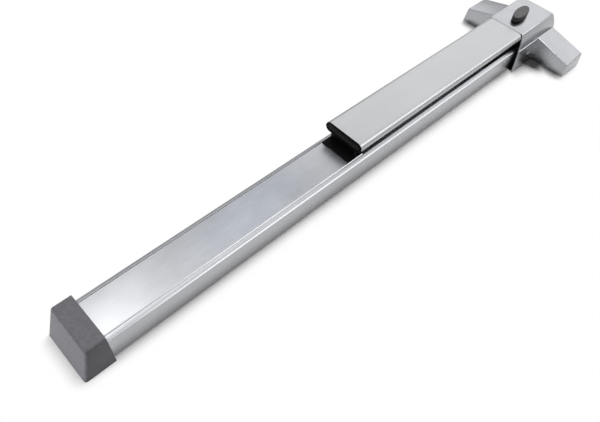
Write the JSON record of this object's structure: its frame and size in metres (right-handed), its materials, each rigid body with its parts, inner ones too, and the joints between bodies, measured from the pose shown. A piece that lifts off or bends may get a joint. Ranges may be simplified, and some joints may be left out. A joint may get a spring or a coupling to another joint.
{
  "type": "panic bar",
  "caption": "Push-pad exit bar on a long rail: a T-shaped latch head with sloping wings, a hold-back knob, bell cranks, an actuator rod and a retracting latch bolt.",
  "frame": {"origin": "centre of the latch head's four fixing holes, on the door face", "axes": "+X from the bar towards the latch, along the door's width; +Y across the bar; +Z out of the door into the room"},
  "size_m": [0.934, 0.2086, 0.0786],
  "materials": {
    "anodised_aluminium": "satin clear anodised extrusion",
    "plate_aluminium": "fine brushed and anodised",
    "pad_aluminium": "satin clear anodised extrusion",
    "silver_paint": "satin silver paint over a cast cover",
    "grey_plastic": "moulded, fine spark texture",
    "black_plastic": "moulded, matt",
    "knob_plastic": "moulded, satin",
    "white_acetal": "moulded",
    "zinc_plated_steel": "pressed and zinc plated",
    "cast_zinc": "die cast, tumbled",
    "crank_steel": "blanked and plated",
    "pin_steel": "turned",
    "screw_steel": "plated",
    "spring_steel": "drawn wire",
    "bolt_steel": "sintered and polished"
  },
  "bodies": {
    "frame": {"rail": "anodised_aluminium", "cover_plate": "plate_aluminium", "end_cap": "grey_plastic", "end_bracket": "zinc_plated_steel", "cap_screw": "screw_steel", "end_guide": "black_plastic", "crank_bracket_a": "zinc_plated_steel", "crank_bracket_b": "zinc_plated_steel", "bracket_rivets": "screw_steel", "pivot_pin_a": "pin_steel", "pivot_pin_b": "pin_steel", "rod_guides": "white_acetal", "spring_seats": "zinc_plated_steel", "pad_spring_a": "spring_steel", "pad_spring_b": "spring_steel", "latch_chassis": "zinc_plated_steel", "joint_screws": "screw_steel", "head_cover": "silver_paint", "head_end_plate": "black_plastic", "cover_screws": "screw_steel", "latch_case": "cast_zinc", "latch_springs": "spring_steel", "deadlatch_spring": "spring_steel", "dog_collar": "black_plastic"},
    "pad": {"push_pad": "pad_aluminium", "pad_end_plug": "black_plastic", "pad_head_plug": "black_plastic", "pad_carrier_a": "zinc_plated_steel", "pad_carrier_b": "zinc_plated_steel"},
    "crank_a": {"bell_crank_a": "crank_steel", "crank_pins_a": "pin_steel"},
    "crank_b": {"bell_crank_b": "crank_steel", "crank_pins_b": "pin_steel"},
    "rod": {"actuator_rod": "zinc_plated_steel", "link_pin": "pin_steel"},
    "bolt": {"latch_bolt": "bolt_steel"},
    "plunger": {"deadlatch": "bolt_steel"},
    "knob": {"dog_knob": "knob_plastic", "dog_spindle": "pin_steel", "spindle_clip": "spring_steel", "dog_hook": "crank_steel"}
  },
  "joints": [
    {"name": "pad_push", "type": "slide", "parent": "frame", "child": "pad", "axis": [0, 0, -1], "range_m": [0, 0.01], "stiffness_N_per_m": 900, "springref_m": -0.02, "deforming": ["pad_spring_a", "pad_spring_b"]},
    {"name": "crank_a_turn", "type": "hinge", "parent": "frame", "child": "crank_a", "pos_m": [-0.4, 0, 0.028], "axis": [0, 1, 0], "range_deg": [0, 36.42]},
    {"name": "crank_b_turn", "type": "hinge", "parent": "frame", "child": "crank_b", "pos_m": [-0.15, 0, 0.028], "axis": [0, 1, 0], "range_deg": [0, 36.42]},
    {"name": "rod_slide", "type": "slide", "parent": "frame", "child": "rod", "axis": [-1, 0, 0], "range_m": [0, 0.0125]},
    {"name": "bolt_slide", "type": "slide", "parent": "frame", "child": "bolt", "axis": [-1, 0, 0], "range_m": [0, 0.0125], "deforming": ["latch_springs"]},
    {"name": "plunger_slide", "type": "slide", "parent": "frame", "child": "plunger", "axis": [-1, 0, 0], "range_m": [0, 0.008], "stiffness_N_per_m": 300, "springref_m": -0.006, "deforming": ["deadlatch_spring"]},
    {"name": "knob_turn", "type": "hinge", "parent": "frame", "child": "knob", "pos_m": [-0.046, 0, 0.07], "axis": [0, 0, -1], "range_deg": [0, 90]}
  ],
  "couplings": [
    {"joint": "crank_a_turn", "follows": "pad_push", "rad_per_m": 63.563},
    {"joint": "crank_b_turn", "follows": "pad_push", "rad_per_m": 63.563},
    {"joint": "rod_slide", "follows": "pad_push", "ratio": 1.25},
    {"joint": "bolt_slide", "follows": "pad_push", "ratio": 1.25}
  ]
}
